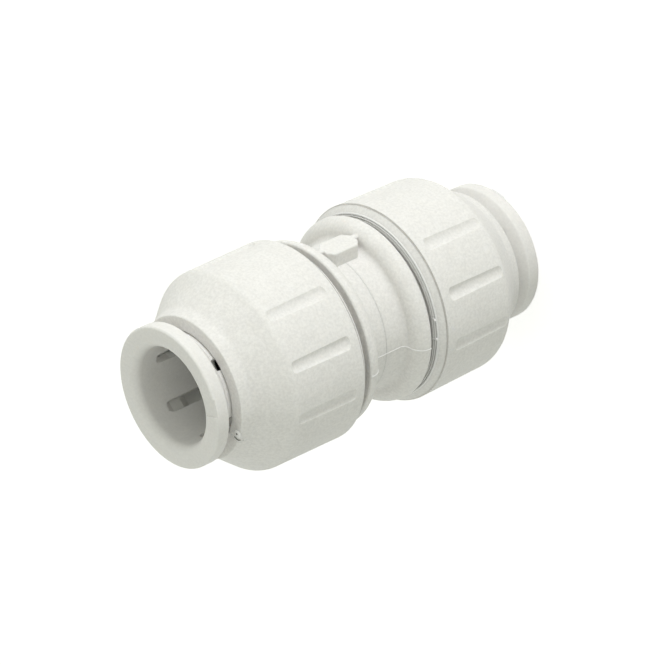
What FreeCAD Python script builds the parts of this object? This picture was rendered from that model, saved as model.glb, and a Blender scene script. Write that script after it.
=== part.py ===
# Straight push-fit connector for 15 mm tube

# The connector's axis is Z and the origin is at the middle of the lower grip's face.
# Every end piece is drawn in an end frame: its Z is the distance outwards from the middle
# of the body, and one rotation sets it at the upper end (a) or the lower end (b).

import FreeCAD, Part
import math
import os
import re
import Sketcher

from FreeCAD import Placement, Rotation, Vector

DOC = FreeCAD.newDocument("push_fit_connector")
TOLERANCE = 1e-4
FULL_TURN = 360.0
UPPER = 1
LOWER = -1

# Driving dimensions, in millimetres, degrees or counts

DIMENSIONS = {
    # whole connector
    "running_gap": 0.05,
    "working_gap": 0.2,
    "lock_travel": 0.85,
    "grip_travel": 2.0,
    # body
    "stop_half": 1.0,
    "stop_bore": 6.2,
    "socket_bore": 7.6,
    "socket_depth": 13.1,
    "waist_radius": 11.6,
    "waist_fillet": 1.0,
    "shoulder_height": 3.65,
    "shoulder_flat": 0.15,
    "flange_reach": 3.25,
    "flange_side": 0.1,
    "flange_edge_round": 0.35,
    "relief_radius": 13.1,
    "relief_width": 1.4,
    "barrel_radius": 13.8,
    "barrel_chamfer": 0.5,
    "seal_chamfer": 0.4,
    # moulded pad and its two ribs
    "pad_top": 13.75,
    "pad_depth": 3.0,
    "pad_half_width": 1.9,
    "pad_half_length": 3.15,
    "pad_tip_half": 0.85,
    "pad_side_half": 2.2,
    "pad_shift": 0.3,
    "rib_half_width": 0.5,
    "rib_reach": 6.0,
    "pad_edge_round": 0.25,
    # sealing ring and spacer
    "ring_inside": 7.42,
    "ring_cord": 2.6,
    "spacer_inside": 7.8,
    "spacer_thickness": 1.4,
    "spacer_edge": 0.2,
    "spacer_hold": 1.1,
    # screw cap
    "lip_gap": 0.35,
    "lip_length": 1.15,
    "lip_step": 0.2,
    "lip_lean": 1.1,
    "ring_line_width": 0.1,
    "ring_line_depth": 0.12,
    "ring_line_first": 0.2,
    "ring_line_pitch": 0.25,
    "groove_width": 0.25,
    "groove_depth": 0.3,
    "mouth_relief": 0.1,
    "mouth_depth": 1.0,
    "cap_wall": 2.1,
    "skirt_taper": 0.18,
    "cone_length": 4.9,
    "knee_round": 2.0,
    "hole_land": 3.15,
    "nose_wall": 2.1,
    "nose_round": 0.2,
    "nose_lip_length": 1.8,
    "nose_flare": 0.6,
    "nose_fillet": 1.6,
    "flute_width": 2.1,
    "flute_depth": 0.4,
    "flute_rear": 1.45,
    "flute_front": 0.15,
    "flute_corner": 0.75,
    "flute_angle": 30.0,
    "flute_groups": 3.0,
    "cap_angle": 27.7,
    # collet
    "collet_bore": 7.65,
    "tip_gap": 0.3,
    "barb_gap": 0.12,
    "barb_lead": 0.5,
    "barb_lead_step": 0.35,
    "barb_length": 2.0,
    "barb_cone": 1.6,
    "neck_radius": 8.9,
    "flank_gap": 0.55,
    "flank_length": 1.8,
    "grip_radius": 11.1,
    "grip_rim": 2.1,
    "grip_round": 0.35,
    "grip_heel_round": 0.4,
    "mouth_round": 1.4,
    "slot_count": 6.0,
    "slot_width": 1.9,
    "slot_rise": 0.25,
    "slot_slant_angle": 26.1,
    "slot_corner": 0.6,
    "collet_angle": 50.5,
    "mark_angle": 327.5,
    "mark_width": 2.8,
    "mark_depth": 0.2,
    # steel teeth
    "tooth_inside": 7.43,
    "tooth_outside": 8.7,
    "tooth_thickness": 0.35,
    "tooth_setback": 1.0,
    "tooth_rise": 1.0,
    "tooth_angle": 42.0,
    "notch_depth": 0.5,
    "notch_half_angle": 7.0,
    "notch_angle": 10.5,
}

SHEET = DOC.addObject("Spreadsheet::Sheet", "dims")
for row, (alias, size) in enumerate(DIMENSIONS.items(), start=1):
    SHEET.set(f"A{row}", alias)
    SHEET.set(f"B{row}", str(size))
    SHEET.setAlias(f"B{row}", alias)
DOC.recompute()

# Places that follow from the driving dimensions, each written once and used by name

PLACES = {
    "flange_radius": "waist_radius + flange_reach",
    "shoulder_round": "flange_reach - waist_fillet - shoulder_flat",
    "flange_height": "shoulder_height + shoulder_round + flange_side + flange_edge_round",
    "seat_height": "stop_half + socket_depth",
    "ring_outside": "ring_inside + ring_cord",
    "seal_bore": "ring_outside + running_gap",
    "relief_end": "flange_height + relief_width",
    "spacer_base": "seat_height + ring_cord + lock_travel + running_gap",
    "spacer_top": "spacer_base + spacer_thickness",
    "barrel_end": "spacer_base + spacer_hold",
    "spacer_outside": "seal_bore - running_gap",
    "thread_bore": "barrel_radius + running_gap",
    "skirt_rear_radius": "thread_bore + cap_wall",
    "skirt_front_radius": "skirt_rear_radius - skirt_taper",
    "lip_radius": "skirt_rear_radius - lip_step",
    "groove_floor": "lip_radius - groove_depth",
    "mouth_radius": "thread_bore + mouth_relief",
    "lip_height": "flange_height + lock_travel + lip_gap",
    "skirt_height": "lip_height + lip_length",
    "mouth_end": "lip_height + mouth_depth",
    "cavity_end": "barrel_end + lock_travel + working_gap",
    "tip_height": "spacer_top + tip_gap",
    "barb_radius": "seal_bore - barb_gap",
    "barb_end": "tip_height + barb_length",
    "neck_start": "barb_end + barb_cone",
    "chamber_radius": "barb_radius + working_gap",
    "chamber_end": "barb_end + grip_travel + working_gap",
    "hole_radius": "neck_radius + working_gap",
    "hole_start": "chamber_end + barb_cone",
    "nose_height": "hole_start + hole_land",
    "nose_radius": "hole_radius + nose_wall",
    "nose_lip_radius": "nose_radius + nose_flare",
    "nose_lip_height": "nose_height - nose_lip_length",
    "knee_height": "nose_lip_height - cone_length",
    "flank_start": "nose_height + flank_gap",
    "rim_start": "flank_start + flank_length",
    "half_length": "rim_start + grip_rim",
    "slot_end": "nose_height + slot_rise",
    "flute_round": "(flute_width * flute_width / 4 + flute_depth * flute_depth) / (2 * flute_depth)",
    "flute_axis": "(skirt_rear_radius + skirt_front_radius) / 2 + flute_round - flute_depth",
    "flute_first": "skirt_height + flute_rear",
    "flute_last": "knee_height - flute_front",
    "flute_floor": "flute_axis - flute_round",
    "slot_length": "slot_end - spacer_base",
    "tooth_height": "tip_height + tooth_setback",
    "tooth_slope": "tooth_rise / (tooth_outside - tooth_inside)",
}


def formula(text):
    """Write an expression of named sizes as FreeCAD reads it, with every place worked out."""
    def resolve(match):
        word = match.group(0)
        if word in PLACES:
            return f"({formula(PLACES[word])})"
        return f"<<dims>>.{word}" if word in DIMENSIONS else word
    return re.sub(r"[a-z][a-z_]*", resolve, text)


def size(text):
    """Return the present value of an expression of named sizes."""
    return float(SHEET.evalExpression(formula(text)))


# Sketch and feature helpers

def new_body(label):
    body = DOC.addObject("PartDesign::Body", label)
    body.Label = label
    return body


def origin_item(body, role):
    return next(item for item in body.Origin.OriginFeatures if item.Role == role)


def new_sketch(body, name, role="XZ_Plane"):
    sketch = body.newObject("Sketcher::SketchObject", name)
    sketch.AttachmentSupport = (origin_item(body, role), [""])
    sketch.MapMode = "FlatFace"
    return sketch


def turned_sketch(body, name, angle):
    """Make a sketch that holds the connector's axis and is turned about it from +X."""
    sketch = new_sketch(body, name)
    sketch.AttachmentOffset = Placement(Vector(), Rotation(Vector(0, 1, 0), size(angle)))
    sketch.setExpression("AttachmentOffset.Rotation.Angle", formula(angle))
    return sketch


def bind(sketch, index, name, text):
    sketch.renameConstraint(index, name)
    sketch.setExpression(f"Constraints.{name}", formula(text))


def fix_point(sketch, geometry, end, name, across, up):
    """Hold one end of a sketch element at two named coordinates."""
    for kind, axis, text in (("DistanceX", "x", across), ("DistanceY", "y", up)):
        index = sketch.addConstraint(Sketcher.Constraint(kind, -1, 1, geometry, end, size(text)))
        bind(sketch, index, f"{axis}{name}", text)


def rounded_edge(centre, start, end):
    """Make the arc about a centre that joins two points the short way round."""
    reach = start.sub(centre)
    first = math.atan2(reach.y, reach.x)
    sweep = math.atan2(reach.x * (end - centre).y - reach.y * (end - centre).x, reach.dot(end - centre))
    circle = Part.Circle(centre, Vector(0, 0, 1), reach.Length)
    if sweep > 0:
        return Part.ArcOfCircle(circle, first, first + sweep), (1, 2)
    return Part.ArcOfCircle(circle, first + sweep, first), (2, 1)


def outline(sketch, corners, arcs=None):
    """Draw a closed outline whose corners are pairs of expressions.

    An arc is given by the number of its first corner and the expressions of its centre.
    """
    arcs = arcs or {}
    spots = [Vector(size(across), size(up), 0) for across, up in corners]
    count = len(spots)
    ends = []
    for index, spot in enumerate(spots):
        following = spots[(index + 1) % count]
        if index in arcs:
            centre = Vector(*(size(text) for text in arcs[index]), 0)
            edge, pair = rounded_edge(centre, spot, following)
        else:
            edge, pair = Part.LineSegment(spot, following), (1, 2)
        sketch.addGeometry(edge, False)
        ends.append(pair)
    for index in range(count):
        after = (index + 1) % count
        joint = Sketcher.Constraint("Coincident", index, ends[index][1], after, ends[after][0])
        sketch.addConstraint(joint)
    for index, (across, up) in enumerate(corners):
        fix_point(sketch, index, ends[index][0], str(index), across, up)
    for index, (across, _) in arcs.items():
        constraint = Sketcher.Constraint("DistanceX", -1, 1, index, 3, size(across))
        bind(sketch, sketch.addConstraint(constraint), f"centre{index}", across)
    return sketch


def turn_about_axis(body, kind, name, sketch, axis="V_Axis"):
    """Add a turned solid to the body, or cut a turned groove in it."""
    before = body.Shape.Volume if kind == "PartDesign::Groove" else None
    feature = body.newObject(kind, name)
    feature.Profile = (sketch, [""])
    feature.ReferenceAxis = (sketch, [axis])
    feature.Angle = FULL_TURN
    sketch.Visibility = False
    DOC.recompute()
    check_cut(feature, before)
    return feature


def check_cut(feature, before):
    """Stop if a cut took nothing away."""
    if before is not None and feature.Shape.Volume >= before:
        raise RuntimeError(f"{feature.Name} cut nothing")


def polar_pattern(body, name, originals, count):
    """Repeat features all round the connector's axis."""
    pattern = body.newObject("PartDesign::PolarPattern", name)
    pattern.Originals = originals
    pattern.Axis = (origin_item(body, "Z_Axis"), [""])
    pattern.Angle = FULL_TURN
    pattern.setExpression("Occurrences", formula(count))
    body.Tip = pattern
    DOC.recompute()
    return pattern


def circle_edges(shape, radius, heights):
    """Name the round edges of a shape that have this radius and lie at one of these heights."""
    names = []
    for index, edge in enumerate(shape.Edges, start=1):
        if not isinstance(edge.Curve, Part.Circle):
            continue
        same_radius = abs(edge.Curve.Radius - radius) < TOLERANCE
        level = edge.Curve.Center.z
        same_height = any(abs(level - height) < TOLERANCE for height in heights)
        if same_radius and same_height:
            names.append(f"Edge{index}")
    return names


def dress(body, kind, name, base, names, value):
    """Round or bevel the named edges of a feature."""
    feature = body.newObject(f"PartDesign::{kind}", name)
    feature.Base = (base, names)
    feature.setExpression("Radius" if kind == "Fillet" else "Size", formula(value))
    body.Tip = feature
    DOC.recompute()
    return feature


def dress_circles(body, kind, name, base, radius, heights, value):
    levels = [size(height) for height in heights]
    names = circle_edges(base.Shape, size(radius), levels)
    return dress(body, kind, name, base, names, value)


def cut_block(body, name, sketch, width):
    """Cut a sketch's outline out of the body over a width centred on the sketch's plane."""
    before = body.Shape.Volume
    pocket = body.newObject("PartDesign::Pocket", name)
    pocket.Profile = (sketch, [""])
    pocket.Midplane = True
    pocket.setExpression("Length", formula(width))
    sketch.Visibility = False
    body.Tip = pocket
    DOC.recompute()
    check_cut(pocket, before)
    return pocket


# The moulded body with its centre stop, two sockets, two flanges and the pad on its waist

def make_body():
    body = new_body("body")
    upper = [
        ("stop_bore", "stop_half"),
        ("socket_bore", "stop_half"),
        ("socket_bore", "seat_height"),
        ("seal_bore", "seat_height"),
        ("seal_bore", "barrel_end"),
        ("barrel_radius", "barrel_end"),
        ("barrel_radius", "relief_end"),
        ("relief_radius", "relief_end"),
        ("relief_radius", "flange_height"),
        ("flange_radius", "flange_height"),
        ("flange_radius", "shoulder_height"),
        ("waist_radius", "shoulder_height"),
    ]
    lower = [(across, f"-({up})") for across, up in reversed(upper)]
    profile = outline(new_sketch(body, "body_profile"), upper + lower)
    solid = turn_about_axis(body, "PartDesign::Revolution", "body_turned", profile)
    both = ["shoulder_height", "-shoulder_height"]
    solid = dress_circles(body, "Fillet", "shoulder_rounds", solid, "flange_radius", both, "shoulder_round")
    solid = dress_circles(body, "Fillet", "waist_fillets", solid, "waist_radius", both, "waist_fillet")
    faces = ["flange_height", "-flange_height"]
    solid = dress_circles(body, "Fillet", "flange_edges", solid, "flange_radius", faces, "flange_edge_round")
    ends = ["barrel_end", "-(barrel_end)"]
    solid = dress_circles(body, "Chamfer", "barrel_leads", solid, "barrel_radius", ends, "barrel_chamfer")
    solid = dress_circles(body, "Chamfer", "seal_leads", solid, "seal_bore", ends, "seal_chamfer")

    rib = new_sketch(body, "rib_outline")
    rib.setExpression("AttachmentOffset.Base.z", formula("-pad_top"))
    outline(rib, [
        ("rib_half_width", "rib_reach"), ("-rib_half_width", "rib_reach"),
        ("-rib_half_width", "-rib_reach"), ("rib_half_width", "-rib_reach"),
    ])
    pad = new_sketch(body, "pad_outline")
    pad.setExpression("AttachmentOffset.Base.z", formula("-pad_top"))
    outline(pad, [
        ("pad_shift + pad_half_width", "pad_side_half"), ("pad_shift + pad_tip_half", "pad_half_length"),
        ("pad_shift - pad_tip_half", "pad_half_length"), ("pad_shift - pad_half_width", "pad_side_half"),
        ("pad_shift - pad_half_width", "-pad_side_half"), ("pad_shift - pad_tip_half", "-pad_half_length"),
        ("pad_shift + pad_tip_half", "-pad_half_length"), ("pad_shift + pad_half_width", "-pad_side_half"),
    ])
    for name, sketch in (("ribs", rib), ("pad", pad)):
        raised = body.newObject("PartDesign::Pad", name)
        raised.Profile = (sketch, [""])
        raised.setExpression("Length", formula("pad_depth"))
        sketch.Visibility = False
        body.Tip = raised
        DOC.recompute()
    top_edges = [
        f"Edge{index}" for index, edge in enumerate(raised.Shape.Edges, start=1)
        if all(abs(vertex.Y - size("pad_top")) < TOLERANCE for vertex in edge.Vertexes)
    ]
    dress(body, "Fillet", "pad_edges", raised, top_edges, "pad_edge_round")
    return body


# End pieces, drawn in the end frame

def make_cap(label):
    body = new_body(label)
    ring_lines = []
    for number in (0, 1):
        inner = f"mouth_radius + ring_line_first + {number} * ring_line_pitch"
        outer = f"{inner} + ring_line_width"
        ring_lines += [
            (inner, "lip_height"),
            (inner, "lip_height + ring_line_depth"),
            (outer, "lip_height + ring_line_depth"),
            (outer, "lip_height"),
        ]
    profile = outline(new_sketch(body, f"{label}_profile"), [
        ("mouth_radius", "lip_height"),
        *ring_lines,
        ("lip_radius - lip_lean", "lip_height"),
        ("lip_radius", "skirt_height - groove_width"),
        ("groove_floor", "skirt_height - groove_width"),
        ("groove_floor", "skirt_height"),
        ("skirt_rear_radius", "skirt_height"),
        ("skirt_front_radius", "knee_height"),
        ("nose_lip_radius", "nose_lip_height"),
        ("nose_radius", "nose_height"),
        ("hole_radius", "nose_height"),
        ("hole_radius", "hole_start"),
        ("chamber_radius", "chamber_end"),
        ("chamber_radius", "cavity_end"),
        ("thread_bore", "cavity_end"),
        ("thread_bore", "mouth_end"),
        ("mouth_radius", "mouth_end"),
    ])
    solid = turn_about_axis(body, "PartDesign::Revolution", f"{label}_turned", profile)
    for name, radius, height, value in (
        ("knee", "skirt_front_radius", "knee_height", "knee_round"),
        ("nose_hollow", "nose_lip_radius", "nose_lip_height", "nose_fillet"),
        ("nose_edge", "nose_radius", "nose_height", "nose_round"),
    ):
        solid = dress_circles(body, "Fillet", f"{label}_{name}", solid, radius, [height], value)
    flutes = [cut_flute(body, f"{label}_flute_{number + 2}", number) for number in (-1, 0, 1)]
    polar_pattern(body, f"{label}_flutes", flutes, "flute_groups")
    return body


def cut_flute(body, name, number):
    """Cut one closed flute with blunt ends, a whole number of steps from the cap's own zero."""
    sketch = turned_sketch(body, f"{name}_outline", f"{number} * flute_angle")
    corners = [
        ("flute_axis", "flute_first"),
        ("flute_floor + flute_corner", "flute_first"),
        ("flute_floor", "flute_first + flute_corner"),
        ("flute_floor", "flute_last - flute_corner"),
        ("flute_floor + flute_corner", "flute_last"),
        ("flute_axis", "flute_last"),
    ]
    outline(sketch, corners, arcs={
        1: ("flute_floor + flute_corner", "flute_first + flute_corner"),
        3: ("flute_floor + flute_corner", "flute_last - flute_corner"),
    })
    first, last = 0, len(corners) - 1
    ends = [Vector(size("flute_axis"), size(text), 0) for text in ("flute_last", "flute_first")]
    centre_line = sketch.addGeometry(Part.LineSegment(*ends), True)
    sketch.addConstraint(Sketcher.Constraint("Coincident", centre_line, 1, last, 1))
    sketch.addConstraint(Sketcher.Constraint("Coincident", centre_line, 2, first, 1))
    return turn_about_axis(body, "PartDesign::Groove", name, sketch, "Axis0")


def make_collet(label):
    """Make the slotted collet: grip, tapered flank, neck, and fingers that end in barbs."""
    body = new_body(label)
    profile = outline(new_sketch(body, f"{label}_profile"), [
        ("collet_bore", "tip_height"),
        ("barb_radius - barb_lead_step", "tip_height"),
        ("barb_radius", "tip_height + barb_lead"),
        ("barb_radius", "barb_end"),
        ("neck_radius", "neck_start"),
        ("neck_radius", "flank_start"),
        ("grip_radius", "rim_start"),
        ("grip_radius", "half_length"),
        ("collet_bore", "half_length"),
    ])
    solid = turn_about_axis(body, "PartDesign::Revolution", f"{label}_turned", profile)
    for name, radius, height, value in (
        ("grip_edge", "grip_radius", "half_length", "grip_round"),
        ("grip_heel", "grip_radius", "rim_start", "grip_heel_round"),
        ("bore_edge", "collet_bore", "half_length", "mouth_round"),
    ):
        solid = dress_circles(body, "Fillet", f"{label}_{name}", solid, radius, [height], value)
    seat = outline(new_sketch(body, f"{label}_tooth_seat"), tooth_section("running_gap", "stop_bore"))
    turn_about_axis(body, "PartDesign::Groove", f"{label}_tooth_groove", seat)
    cut = cut_slot(body, f"{label}_slot")
    polar_pattern(body, f"{label}_slots", [cut], "slot_count")
    mark = outline(turned_sketch(body, f"{label}_mark", "mark_angle"), [
        ("stop_bore", "half_length - mark_depth"),
        ("lip_radius", "half_length - mark_depth"),
        ("lip_radius", "half_length + mark_depth"),
        ("stop_bore", "half_length + mark_depth"),
    ])
    cut_block(body, f"{label}_mark_cut", mark, "mark_width")
    return body


def cut_slot(body, name):
    """Cut one slot between two fingers, open at the tips, with a slanted end and rounded corners."""
    sketch = new_sketch(body, name, "YZ_Plane")
    end_wall = Vector(0, size("slot_end"), size("collet_bore"))
    sketch.AttachmentOffset = Placement(end_wall, Rotation(Vector(-1, 0, 0), size("slot_slant_angle")))
    for item, text in (
        ("Base.y", "slot_end"), ("Base.z", "collet_bore"), ("Rotation.Angle", "slot_slant_angle"),
    ):
        sketch.setExpression(f"AttachmentOffset.{item}", formula(text))
    outline(sketch, [
        ("-slot_width / 2", "-slot_length"),
        ("slot_width / 2", "-slot_length"),
        ("slot_width / 2", "-slot_corner"),
        ("slot_width / 2 - slot_corner", "0"),
        ("slot_corner - slot_width / 2", "0"),
        ("-slot_width / 2", "-slot_corner"),
    ], arcs={
        2: ("slot_width / 2 - slot_corner", "-slot_corner"),
        4: ("slot_corner - slot_width / 2", "-slot_corner"),
    })
    return cut_block(body, f"{name}_cut", sketch, "slot_length")


def tooth_section(gap, inside):
    """Give the section of the slanted tooth, grown by a gap, from an inner radius outwards."""
    lean = f"({inside} - tooth_inside) * tooth_slope"
    far = f"(tooth_outside + {gap})"
    far_lean = f"({far} - tooth_inside) * tooth_slope"
    return [
        (inside, f"tooth_height - {gap} + {lean}"),
        (far, f"tooth_height - {gap} + {far_lean}"),
        (far, f"tooth_height + tooth_thickness + {gap} + {far_lean}"),
        (inside, f"tooth_height + tooth_thickness + {gap} + {lean}"),
    ]


def make_tooth(label):
    """Make one slanted steel tooth strip with points along its inner edge."""
    body = new_body(label)
    section = outline(new_sketch(body, f"{label}_section"), tooth_section("0", "tooth_inside"))
    strip = turn_about_axis(body, "PartDesign::Revolution", f"{label}_strip", section)
    strip.Midplane = True
    strip.setExpression("Angle", formula("tooth_angle"))
    DOC.recompute()
    base, tip = "(tooth_inside - notch_depth)", "(tooth_inside + notch_depth)"
    for number in (-1, 0, 1):
        angle = f"({number} * notch_angle)"
        notch = outline(new_sketch(body, f"{label}_notch_{number + 2}", "XY_Plane"), [
            (f"{tip} * cos({angle})", f"{tip} * sin({angle})"),
            (f"{base} * cos({angle} - notch_half_angle)", f"{base} * sin({angle} - notch_half_angle)"),
            (f"{base} * cos({angle} + notch_half_angle)", f"{base} * sin({angle} + notch_half_angle)"),
        ])
        before = body.Shape.Volume
        cut = body.newObject("PartDesign::Pocket", f"{label}_notch_cut_{number + 2}")
        cut.Profile = (notch, [""])
        cut.Type = "ThroughAll"
        cut.Midplane = True
        notch.Visibility = False
        body.Tip = cut
        DOC.recompute()
        check_cut(cut, before)
    return body


def make_spacer(label):
    body = new_body(label)
    profile = outline(new_sketch(body, f"{label}_profile"), [
        ("spacer_inside", "spacer_base"),
        ("spacer_outside", "spacer_base"),
        ("spacer_outside", "spacer_top"),
        ("spacer_inside", "spacer_top"),
    ])
    solid = turn_about_axis(body, "PartDesign::Revolution", f"{label}_turned", profile)
    rims = ["spacer_base", "spacer_top"]
    for name, radius in (("outer", "spacer_outside"), ("inner", "spacer_inside")):
        solid = dress_circles(body, "Chamfer", f"{label}_{name}_edges", solid, radius, rims, "spacer_edge")
    return body


def make_ring(label, side):
    ring = DOC.addObject("Part::Torus", label)
    ring.Label = label
    ring.setExpression("Radius1", formula("ring_inside + ring_cord / 2"))
    ring.setExpression("Radius2", formula("ring_cord / 2"))
    ring.setExpression("Placement.Base.z", formula(f"half_length + {side} * (seat_height + ring_cord / 2)"))
    return ring


def place(piece, side, turn):
    """Set an end piece at the upper end or, turned over, at the lower end."""
    rotation = Rotation(Vector(0, 0, 1), turn)
    if side == LOWER:
        rotation = rotation.multiply(Rotation(Vector(1, 0, 0), FULL_TURN / 2))
    piece.Placement = Placement(Vector(0, 0, size("half_length")), rotation)
    piece.setExpression("Placement.Base.z", formula("half_length"))


def make_end(letter, side):
    """Make every piece of one end and set it in place."""
    cap = make_cap(f"cap_{letter}")
    place(cap, side, size("cap_angle"))
    collet = make_collet(f"collet_{letter}")
    place(collet, side, size("collet_angle"))
    spacer = make_spacer(f"spacer_{letter}")
    place(spacer, side, 0)
    pieces = [cap, collet, spacer, make_ring(f"o_ring_{letter}", side)]
    fingers = round(size("slot_count"))
    finger_angle = FULL_TURN / fingers
    for number in range(fingers):
        tooth = make_tooth(f"tooth_{letter}_{number + 1}")
        middle = number * finger_angle + finger_angle / 2
        place(tooth, side, size("collet_angle") + side * middle)
        pieces.append(tooth)
    return pieces


# Build, check and write every piece

def check():
    for item in DOC.Objects:
        if "Invalid" in item.State or "Error" in item.State:
            raise RuntimeError(f"{item.Name} failed: {item.State}")


def write(piece):
    shape = piece.Shape
    if shape.isNull() or not shape.isValid():
        raise RuntimeError(f"{piece.Label} has no valid shape")
    shape.exportStep(f"parts/{piece.Label}.step")
    print(piece.Label, "solids", len(shape.Solids), "volume", round(shape.Volume, 2))


body_piece = make_body()
body_piece.setExpression("Placement.Base.z", formula("half_length"))
PIECES = [body_piece] + make_end("a", UPPER) + make_end("b", LOWER)
DOC.recompute()
check()
os.makedirs("parts", exist_ok=True)
for piece in PIECES:
    write(piece)
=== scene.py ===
import math

import bmesh
import bpy
from mathutils import Matrix, Vector
from mathutils.bvhtree import BVHTree


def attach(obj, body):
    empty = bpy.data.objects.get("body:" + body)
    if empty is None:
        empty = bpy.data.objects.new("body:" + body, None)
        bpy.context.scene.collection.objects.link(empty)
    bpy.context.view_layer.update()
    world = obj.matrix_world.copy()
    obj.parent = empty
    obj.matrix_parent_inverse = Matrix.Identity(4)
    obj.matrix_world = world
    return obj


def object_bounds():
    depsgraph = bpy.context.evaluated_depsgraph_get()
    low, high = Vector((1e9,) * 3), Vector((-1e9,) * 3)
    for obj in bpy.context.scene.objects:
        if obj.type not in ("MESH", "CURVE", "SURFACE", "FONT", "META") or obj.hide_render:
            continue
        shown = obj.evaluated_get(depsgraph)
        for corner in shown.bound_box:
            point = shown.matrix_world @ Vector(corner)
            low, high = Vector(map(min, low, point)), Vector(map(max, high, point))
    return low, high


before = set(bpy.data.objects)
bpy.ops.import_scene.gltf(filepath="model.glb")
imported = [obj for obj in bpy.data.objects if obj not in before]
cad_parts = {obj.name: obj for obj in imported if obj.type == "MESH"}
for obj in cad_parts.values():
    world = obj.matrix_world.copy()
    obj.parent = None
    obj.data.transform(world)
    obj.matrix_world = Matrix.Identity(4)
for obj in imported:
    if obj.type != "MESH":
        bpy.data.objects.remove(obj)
cad_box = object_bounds()

MM = 0.001
HALF_LENGTH = cad_box[1][2] / 2
CENTRE = Vector((0, 0, HALF_LENGTH))
ENDS = (("a", 1), ("b", -1))


# Node helpers

class Graph:
    """A small helper that adds nodes to the tree of a material or of the world, and links them."""

    def __init__(self, owner, target):
        owner.use_nodes = True
        self.owner = owner
        self.tree = owner.node_tree
        self.target = self.tree.nodes[target]

    def feed(self, node, inputs):
        for key, value in inputs.items():
            if isinstance(value, bpy.types.NodeSocket):
                self.tree.links.new(value, node.inputs[key])
            else:
                node.inputs[key].default_value = value

    def feed_target(self, inputs):
        """Feed the node that the tree was started for."""
        self.feed(self.target, inputs)

    def add(self, kind, inputs=None, **settings):
        node = self.tree.nodes.new(kind)
        for key, value in settings.items():
            setattr(node, key, value)
        self.feed(node, inputs or {})
        return node

    def calculate(self, operation, first, second=0.0):
        return self.add("ShaderNodeMath", {0: first, 1: second}, operation=operation).outputs[0]

    def mix(self, kind, share, first, second):
        node = self.add("ShaderNodeMix", {"Factor": share, "A": first, "B": second}, data_type=kind)
        return node.outputs["Result"]

    def noise(self, scale, detail=3.0, roughness=0.5, point=None):
        if point is None:
            point = self.add("ShaderNodeTexCoord").outputs["Object"]
        node = self.add("ShaderNodeTexNoise", {
            "Vector": point, "Scale": scale, "Detail": detail, "Roughness": roughness,
        })
        return node.outputs["Fac"]

    def ramp(self, factor, low, high, start=0.3, end=0.7):
        node = self.add("ShaderNodeValToRGB", {"Fac": factor})
        for stop, place, colour in zip(node.color_ramp.elements, (start, end), (low, high)):
            stop.position = place
            stop.color = (*colour, 1)
        return node.outputs["Color"]

    def remap(self, value, low, high):
        node = self.add("ShaderNodeMapRange", {"Value": value, "To Min": low, "To Max": high})
        return node.outputs["Result"]

    def bump(self, height, depth, strength, under=None):
        inputs = {"Height": height, "Distance": depth, "Strength": strength}
        if under is not None:
            inputs["Normal"] = under
        return self.add("ShaderNodeBump", inputs).outputs["Normal"]

    def reach_and_height(self):
        """Give a point's distance from the axis, and its height."""
        point = self.add("ShaderNodeTexCoord").outputs["Object"]
        parts = self.add("ShaderNodeSeparateXYZ", {"Vector": point})
        flat = self.add("ShaderNodeCombineXYZ", {"X": parts.outputs["X"], "Y": parts.outputs["Y"]})
        reach = self.add("ShaderNodeVectorMath", {0: flat.outputs["Vector"]}, operation="LENGTH")
        return reach.outputs["Value"], parts.outputs["Z"]

    def seen(self):
        """Give 1 to the rays that see the background, and 0 to those that light the object."""
        rays = self.add("ShaderNodeLightPath")
        camera, glossy = rays.outputs["Is Camera Ray"], rays.outputs["Is Glossy Ray"]
        return self.calculate("MAXIMUM", camera, glossy)


def new_material(name):
    return Graph(bpy.data.materials.new(name), "Principled BSDF")


# Materials. A scale is that of Blender's noise, on coordinates in metres, and the radii of the
# scatter are for red, green and blue.

CLOUD_SCALE = 420
SPECK_SCALE = 2400
SPECK_SHARE = 0.82
GRAIN_SCALE = 5200
GRAIN_DEPTH = 0.04 * MM
GRAIN_STRENGTH = 0.5
LINES_SCALE = 3200
LINES_STRENGTH = 0.6
BODY_LINES = 0.03 * MM
CAP_LINES = 0.008 * MM
ROUGHNESS_SPREAD = 0.06
SPECULAR_LEVEL = 0.12
SCATTER = 0.3
SCATTER_DEPTH = 1.2 * MM
SCATTER_RADII = (1.0, 0.95, 0.85)

# Painted light: the hidden sides found from these are painted paler.
# The skin of a cap is outside a radius that shrinks by 1 mm for each mm of height past the knee.
# The fingers of a collet are hidden outside the bore and below the grip. Heights are from the middle.
KNEE_HEIGHT = 21.5 * MM
SKIN_RADIUS = 14.6 * MM
BORE_RADIUS = 7.85 * MM
GRIP_HEIGHT = 25.8 * MM

# The darkest and lightest shade of each plastic
SATIN_WHITE = ((0.75, 0.737, 0.726), (0.85, 0.836, 0.823))
SMOOTH_WHITE = ((0.77, 0.757, 0.747), (0.825, 0.811, 0.8))
SPACER_WHITE = ((0.86, 0.85, 0.83), (0.9, 0.89, 0.87))
# Paler than the plastic around it: partly thin plastic's own paleness, partly a painted highlight.
FLASH_AND_HIGHLIGHT_WHITE = ((0.92, 0.91, 0.9), (0.96, 0.95, 0.94))
# Dark grey for the gate's dot, and for the painted shadow beside the weld line.
DOT_AND_SHADOW_GREY = ((0.14, 0.14, 0.13), (0.22, 0.22, 0.20))
# A paler colour painted on the hidden side of a cap or collet, as painted light.
PAINTED_INNER_LIGHT = (0.93, 0.922, 0.90, 1)

RUBBER_SCALE = 1500
RUBBER_BLACK = ((0.012, 0.012, 0.012), (0.03, 0.03, 0.03))
STEEL_SCALE = 4000
STEEL_GREY = ((0.5, 0.5, 0.5), (0.62, 0.61, 0.6))


def turned_lines(g):
    """Give a value that changes only with the distance from the axis and the height."""
    reach, height = g.reach_and_height()
    section = g.add("ShaderNodeCombineXYZ", {"X": reach, "Z": height})
    return g.noise(LINES_SCALE, detail=2.0, roughness=0.6, point=section.outputs["Vector"])


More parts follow.
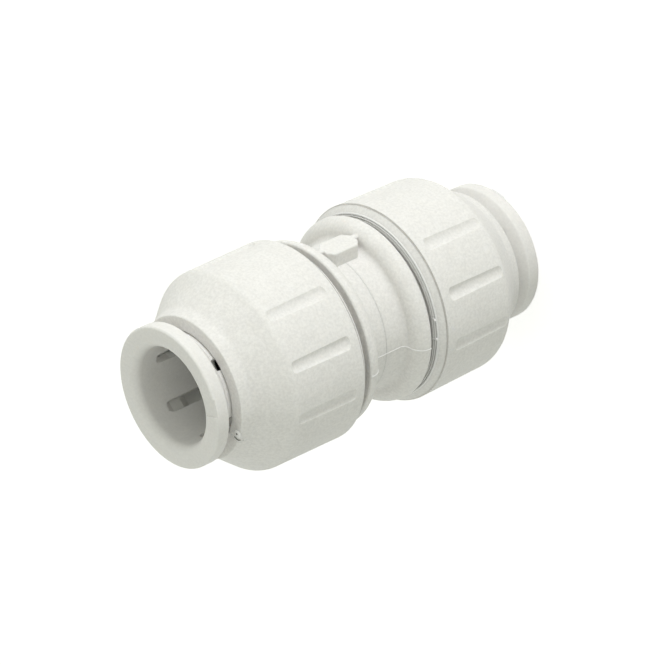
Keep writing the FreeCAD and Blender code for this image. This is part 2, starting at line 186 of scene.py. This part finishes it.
def painted_light_mask(g, piece):
    """Give 1 inside a cap or outside a collet's fingers, where light is painted on, and 0 in the open."""
    reach, height = g.reach_and_height()
    height = g.calculate("ABSOLUTE", g.calculate("SUBTRACT", height, HALF_LENGTH))
    if piece == "cap":
        past_knee = g.calculate("MAXIMUM", g.calculate("SUBTRACT", height, KNEE_HEIGHT))
        return g.calculate("LESS_THAN", g.calculate("ADD", reach, past_knee), SKIN_RADIUS)
    outside_bore = g.calculate("GREATER_THAN", reach, BORE_RADIUS)
    below_grip = g.calculate("LESS_THAN", height, GRIP_HEIGHT)
    return g.calculate("MULTIPLY", outside_bore, below_grip)


def moulded_plastic(name, shades, roughness, scatter=SCATTER, lines=0.0, painted_inside=None):
    """Moulded plastic with mottling, a fine grain and slight translucency.

    It has tool lines where their depth is given. The walls let some light through, and for a cap or
    collet the hidden side is painted paler, a painted light that stands in for it.
    """
    g = new_material(name)
    cloud = g.noise(CLOUD_SCALE)
    speck = g.noise(SPECK_SCALE, roughness=0.6)
    grain = g.noise(GRAIN_SCALE, detail=2.0, roughness=0.6)
    colour = g.ramp(g.mix("FLOAT", SPECK_SHARE, cloud, speck), *shades, start=0.35, end=0.65)
    # Painted light: the hidden side of a cap or collet is painted paler.
    if painted_inside:
        colour = g.mix("RGBA", painted_light_mask(g, painted_inside), colour, PAINTED_INNER_LIGHT)
    normal = g.bump(grain, GRAIN_DEPTH, GRAIN_STRENGTH)
    if lines:
        normal = g.bump(turned_lines(g), lines, LINES_STRENGTH, normal)
    g.feed_target({
        "Base Color": colour,
        "Roughness": g.remap(speck, roughness - ROUGHNESS_SPREAD, roughness + ROUGHNESS_SPREAD),
        "Normal": normal,
        "Specular IOR Level": SPECULAR_LEVEL,
        "Subsurface Weight": scatter,
        "Subsurface Radius": SCATTER_RADII,
        "Subsurface Scale": SCATTER_DEPTH,
    })
    return g.owner


def speckled(name, scale, shades, roughness, metallic=0.0):
    """A plain surface with a fine speckle in its colour and its roughness."""
    g = new_material(name)
    speck = g.noise(scale)
    g.feed_target({
        "Base Color": g.ramp(speck, *shades),
        "Roughness": g.remap(speck, *roughness),
        "Metallic": metallic,
    })
    return g.owner


# By the first word of a node's name, and two more for the small details
MATERIALS = {
    "body": moulded_plastic("body_plastic", SATIN_WHITE, roughness=0.55, lines=BODY_LINES),
    # The caps and collets get painted light on their hidden sides.
    "cap": moulded_plastic("cap_plastic", SATIN_WHITE, roughness=0.55, lines=CAP_LINES, painted_inside="cap"),
    "collet": moulded_plastic("collet_plastic", SMOOTH_WHITE, roughness=0.45, painted_inside="collet"),
    "spacer": moulded_plastic("spacer_plastic", SPACER_WHITE, roughness=0.4),
    # Paler plastic for the small details, which paints their highlights.
    "flash_highlight": moulded_plastic("pale_flash_and_painted_highlight", FLASH_AND_HIGHLIGHT_WHITE, roughness=0.4),
    # Dark grey for the gate's dot and a painted shadow.
    "gate": moulded_plastic("dark_dot_and_painted_shadow", DOT_AND_SHADOW_GREY, roughness=0.6, scatter=0.0),
    "o": speckled("seal_rubber", RUBBER_SCALE, RUBBER_BLACK, roughness=(0.45, 0.6)),
    "tooth": speckled("tooth_steel", STEEL_SCALE, STEEL_GREY, roughness=(0.25, 0.38), metallic=1.0),
}
for name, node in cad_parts.items():
    node.data.materials.clear()
    node.data.materials.append(MATERIALS[name.split("_")[0]])


# Small raised details, laid on the surface of the solids. A size is a width and a rise, and a home is
# the body that a piece rides on and the name of a material slot, which is not used.

OUTSIDE = 40 * MM
DOWN = Vector((0, 0, -1))
SINK = 0.06 * MM
RIDGE_SECTION = ((-0.5, 0), (-0.25, 0.75), (0, 1), (0.25, 0.75), (0.5, 0))
RING_STEPS = 180

ON_BODY = ("fitting", "body_plastic")
ON_CAP = {"a": ("cap_a", "cap_plastic"), "b": ("cap_b", "cap_plastic")}


def surface_of(name):
    """Give a finder of the place and outward normal where a straight line meets a node."""
    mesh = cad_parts[name].data
    points = [vertex.co for vertex in mesh.vertices]
    tree = BVHTree.FromPolygons(points, [tuple(face.vertices) for face in mesh.polygons])

    def find(start, towards):
        place, normal, _, _ = tree.ray_cast(start, towards)
        return place, normal if normal.dot(towards) < 0 else -normal

    return find


def spoke(azimuth):
    """Give the outward direction at an azimuth in degrees."""
    turn = math.radians(azimuth)
    return Vector((math.cos(turn), math.sin(turn), 0))


def level(height):
    """Give the point on the axis at a height from the middle."""
    return Vector((0, 0, HALF_LENGTH + height))


def new_piece(name, skin, home, material):
    points, faces = skin
    body, slot = home
    mesh = bpy.data.meshes.new(name)
    mesh.from_pydata(points, [], faces)
    form = bmesh.new()
    form.from_mesh(mesh)
    bmesh.ops.recalc_face_normals(form, faces=form.faces)
    form.to_mesh(mesh)
    form.free()
    for face in mesh.polygons:
        face.use_smooth = True
    mesh.materials.append(material)
    piece = bpy.data.objects.new(name, mesh)
    bpy.context.scene.collection.objects.link(piece)
    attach(piece, body)


def tube(rings, closed=False):
    """Join rings of points, all with as many points, into one closed skin."""
    width = len(rings[0])
    points = [point for ring in rings for point in ring]
    faces = []
    for row in range(len(rings) if closed else len(rings) - 1):
        here, there = row * width, (row + 1) % len(rings) * width
        for corner in range(width):
            after = (corner + 1) % width
            faces.append((here + corner, here + after, there + after, there + corner))
    if not closed:
        faces.append(tuple(range(width)))
        faces.append(tuple(range(len(points) - width, len(points))))
    return points, faces


def make_ridge(name, spots, size, home, material, closed=False):
    """Lay a low rounded ridge along spots, each a place on the surface and its outward normal."""
    width, rise = size
    last = len(spots) - 1
    rings = []
    for index, (place, normal) in enumerate(spots):
        before = spots[index - 1][0] if closed or index > 0 else place
        after = spots[(index + 1) % len(spots)][0] if closed or index < last else place
        along = (after - before).normalized()
        side = along.cross(normal).normalized()
        out = side.cross(along)
        rings.append([place + side * across * width + out * ((rise + SINK) * lift - SINK)
                      for across, lift in RIDGE_SECTION])
    new_piece(name, tube(rings, closed), home, material)


def make_round_line(name, radius, height, slope, size, home, material):
    """A thin line all round the axis, on a surface whose normal leans up from the radius by slope."""
    lean = math.radians(slope)
    spots = []
    for step in range(RING_STEPS):
        out = spoke(360 * step / RING_STEPS)
        spots.append((out * radius + level(height), out * math.cos(lean) + Vector((0, 0, math.sin(lean)))))
    make_ridge(name, spots, size, home, material, closed=True)


# Lines of the body's mould, and the threads that show in the gaps beside the flanges

PARTING_REACH = 6.1 * MM
PARTING_STEP = 0.1 * MM
PARTING_SIZE = (0.24 * MM, 0.09 * MM)
WAIST_LINE_HEIGHT = 0.05 * MM
WAIST_LINE_SIZE = (0.3 * MM, 0.05 * MM)
THREAD_CREST = 13.75 * MM
THREAD_ROOT = 13.05 * MM
THREAD_PITCH = 0.34 * MM
THREAD_START = 7.35 * MM
THREAD_END = 7.8 * MM
THREAD_STEPS = 96
THREAD_FADE_STEPS = 8

# A radius, and a shift along the axis in pitches
THREAD_SECTION = ((THREAD_ROOT, -0.46), (THREAD_CREST, -0.3), (THREAD_CREST, 0.3), (THREAD_ROOT, 0.46))


def make_parting_line(name, find, azimuth):
    """A thin flash line along the body, over the waist and both shoulders, paler for a painted highlight.
    """
    count = round(2 * PARTING_REACH / PARTING_STEP)
    spots = []
    for step in range(count + 1):
        start = spoke(azimuth) * OUTSIDE + level(step * PARTING_STEP - PARTING_REACH)
        spots.append(find(start, -spoke(azimuth)))
    make_ridge(name, spots, PARTING_SIZE, ON_BODY, MATERIALS["flash_highlight"])


def make_waist_line(find):
    """A fine line round the waist, of one radius, so that it goes under the pad."""
    place, _ = find(spoke(0) * OUTSIDE + level(WAIST_LINE_HEIGHT), -spoke(0))
    make_round_line("waist_line", place.xy.length, WAIST_LINE_HEIGHT, 0, WAIST_LINE_SIZE,
                    ON_BODY, MATERIALS["body"])


def make_thread(letter, side):
    """A fine helical ridge round the barrel, beside the flange and under the cap's lip."""
    turns = (THREAD_END - THREAD_START) / THREAD_PITCH
    count = round(turns * THREAD_STEPS)
    rings = []
    for step in range(count + 1):
        angle = 360 * step / THREAD_STEPS * side
        height = THREAD_START + THREAD_PITCH * step / THREAD_STEPS
        fade = min(1.0, min(step, count - step) / THREAD_FADE_STEPS)
        ring = []
        for radius, shift in THREAD_SECTION:
            reach = THREAD_ROOT + (radius - THREAD_ROOT) * fade
            ring.append(spoke(angle) * reach + level(side * (height + shift * THREAD_PITCH)))
        rings.append(ring)
    new_piece(f"thread_{letter}", tube(rings), ON_BODY, MATERIALS["body"])


find_body = surface_of("body")
make_parting_line("parting_line_front", find_body, 0)
make_parting_line("parting_line_back", find_body, 180)
make_waist_line(find_body)
for letter, side in ENDS:
    make_thread(letter, side)


# Fine ring lines on the end face of each cap's lip, with a rounded crest at its outer edge, in a paler
# plastic for a painted highlight

LIP_HEIGHT = 7.4 * MM
LIP_LINES = ((14.06 * MM, (0.16 * MM, 0.29 * MM)), (14.38 * MM, (0.16 * MM, 0.2 * MM)))
LIP_CREST_RADIUS = 14.72 * MM
LIP_CREST_HEIGHT = 7.47 * MM
LIP_CREST_SIZE = (0.45 * MM, 0.1 * MM)

for letter, side in ENDS:
    on_lip = (ON_CAP[letter], MATERIALS["flash_highlight"])
    for number, (radius, size) in enumerate(LIP_LINES, start=1):
        make_round_line(f"lip_line_{letter}_{number}", radius, side * LIP_HEIGHT, side * -90, size, *on_lip)
    make_round_line(f"lip_crest_{letter}", LIP_CREST_RADIUS, side * LIP_CREST_HEIGHT, side * -45,
                    LIP_CREST_SIZE, *on_lip)


# Gate mark and weld line on the nose of cap a, a painted shadow beside the weld line, and two nibs on the
# end face of cap b's lip

GATE_AZIMUTH = -14.3
GATE_REACH = 10.75 * MM
GATE_RIM = (0.62 * MM, 0.24 * MM)
GATE_DOT = (0.2 * MM, 0.26 * MM)
BUTTON_STEPS = 24
FLASH_STEPS = 12

# Shares of a button's radius and of its rise
BUTTON_SECTION = ((1.0, 0.6), (0.8, 1.0), (0.02, 1.0))

# Name, cap, the azimuth and radius of both ends, size, and material. Lengths are in mm.
FLASHES = (
    # The weld line and the nibs are in the paler plastic, for a painted highlight.
    ("nose_weld_line", "a", (-21.6, 9.2), (-20.9, 11.5), (0.26, 0.12), "flash_highlight"),
    # A painted shadow: a dark ridge beside the weld line.
    ("nose_weld_shadow", "a", (-20.6, 10.3), (-19.8, 11.3), (0.34, 0.05), "gate"),
    ("nib_low", "b", (3.5, 14.0), (4.0, 14.72), (0.6, 0.33), "flash_highlight"),
    ("nib_high", "b", (17.8, 14.05), (15.9, 14.68), (0.4, 0.31), "flash_highlight"),
)


def make_button(name, place, normal, size, home, material):
    """A low round button with a rounded rim, standing on a surface. Its size is a radius and a rise."""
    radius, rise = size
    side = normal.orthogonal().normalized()
    across = normal.cross(side)
    section = [(1.0, -SINK)] + [(share, rise * lift) for share, lift in BUTTON_SECTION]
    rings = []
    for share, lift in section:
        ring = []
        for step in range(BUTTON_STEPS):
            turn = 2 * math.pi * step / BUTTON_STEPS
            spot = side * math.cos(turn) + across * math.sin(turn)
            ring.append(place + spot * radius * share + normal * lift)
        rings.append(ring)
    new_piece(name, tube(rings), home, material)


def make_flash(name, find, above, start, end, size, home, material):
    """A ridge of flash on a surface that faces up, found by looking down from a height above it."""
    spots = []
    for step in range(FLASH_STEPS + 1):
        share = step / FLASH_STEPS
        azimuth = start[0] + (end[0] - start[0]) * share
        reach = start[1] + (end[1] - start[1]) * share
        spots.append(find(spoke(azimuth) * reach * MM + level(above), DOWN))
    make_ridge(name, spots, [length * MM for length in size], home, material)


# The nose of cap a is looked down on from outside, and the lip of cap b from the middle.
find_cap = {letter: surface_of(f"cap_{letter}") for letter, _ in ENDS}
look_from = {"a": OUTSIDE, "b": 0}
gate = find_cap["a"](spoke(GATE_AZIMUTH) * GATE_REACH + level(OUTSIDE), DOWN)
# The gate's rim is in the paler plastic for a painted highlight, and its dot is dark grey.
make_button("gate_rim", *gate, GATE_RIM, ON_CAP["a"], MATERIALS["flash_highlight"])
make_button("gate_dot", *gate, GATE_DOT, ON_CAP["a"], MATERIALS["gate"])
for name, letter, start, end, size, material in FLASHES:
    make_flash(name, find_cap[letter], look_from[letter], start, end, size,
               ON_CAP[letter], MATERIALS[material])


# Floor, key lamp and world

FLOOR_SIZE = 6.0
FLOOR_COLOUR = (0.8, 0.8, 0.8, 1)
FLOOR_ROUGHNESS = 0.9
FLOOR_GLOW = 0.55
WORLD_STRENGTH = 0.715
WORLD_TINT = (0.972, 1.0, 0.915, 1)
WHITE = (1, 1, 1, 1)
KEY_AZIMUTH = 85
KEY_ELEVATION = -0.9
KEY_DISTANCE = 0.8
KEY_SIZE = (0.2, 0.036)
KEY_POWER = 3.1


def direction(azimuth, elevation):
    """Give the direction from the object to a lamp or camera."""
    turn, lift = math.radians(azimuth), math.radians(elevation)
    return Vector((math.cos(lift) * math.cos(turn), math.cos(lift) * math.sin(turn), math.sin(lift)))


def make_floor():
    bpy.ops.mesh.primitive_plane_add(size=FLOOR_SIZE, location=(0, 0, 0))
    floor = bpy.context.object
    floor.name = "floor"
    g = new_material("pale_floor")
    g.feed_target({
        "Base Color": FLOOR_COLOUR,
        "Roughness": FLOOR_ROUGHNESS,
        "Specular IOR Level": 0.0,
        "Emission Color": WHITE,
        "Emission Strength": g.calculate("MULTIPLY", g.seen(), FLOOR_GLOW),
    })
    floor.data.materials.append(g.owner)


def make_world():
    """White where it is seen, and a tinted light of the world's strength on the object."""
    world = bpy.data.worlds.new("studio")
    bpy.context.scene.world = world
    g = Graph(world, "Background")
    seen = g.seen()
    g.feed_target({
        "Strength": g.remap(seen, WORLD_STRENGTH, 1.0),
        "Color": g.mix("RGBA", seen, WORLD_TINT, WHITE),
    })


def make_key():
    data = bpy.data.lights.new("key", "AREA")
    data.shape = "ELLIPSE"
    data.size, data.size_y = KEY_SIZE
    data.energy = KEY_POWER
    lamp = bpy.data.objects.new("key", data)
    bpy.context.scene.collection.objects.link(lamp)
    aim = direction(KEY_AZIMUTH, KEY_ELEVATION)
    lamp.location = CENTRE + aim * KEY_DISTANCE
    lamp.rotation_euler = aim.to_track_quat("Z", "Y").to_euler()


make_floor()
make_world()
make_key()


# Camera, at the photograph's viewing angle

PHOTO_SIZE = 665
SENSOR = 36.0
CAMERA_AZIMUTH = 41.11
CAMERA_ELEVATION = 35.56
CAMERA_ROLL = 114.9
CAMERA_DISTANCE = 0.496
CAMERA_ASIDE = Vector((-0.273, -1.652)) * MM
FOCAL_PIXELS = 3292.2
CLIP_START = 0.01


def make_camera():
    turn, roll = math.radians(CAMERA_AZIMUTH), math.radians(CAMERA_ROLL)
    back = direction(CAMERA_AZIMUTH, CAMERA_ELEVATION)
    level_right = Vector((-math.sin(turn), math.cos(turn), 0))
    level_up = back.cross(level_right)
    up = level_up * math.cos(roll) + level_right * math.sin(roll)
    right = up.cross(back)
    data = bpy.data.cameras.new("camera")
    data.sensor_width = SENSOR
    data.lens = SENSOR * FOCAL_PIXELS / PHOTO_SIZE
    data.clip_start = CLIP_START
    camera = bpy.data.objects.new("camera", data)
    bpy.context.scene.collection.objects.link(camera)
    place = CENTRE + right * CAMERA_ASIDE.x + up * CAMERA_ASIDE.y + back * CAMERA_DISTANCE
    turned = Matrix((right, up, back)).transposed().to_4x4()
    camera.matrix_world = Matrix.Translation(place) @ turned
    bpy.context.scene.camera = camera


make_camera()
bpy.context.scene.view_settings.view_transform = "Standard"
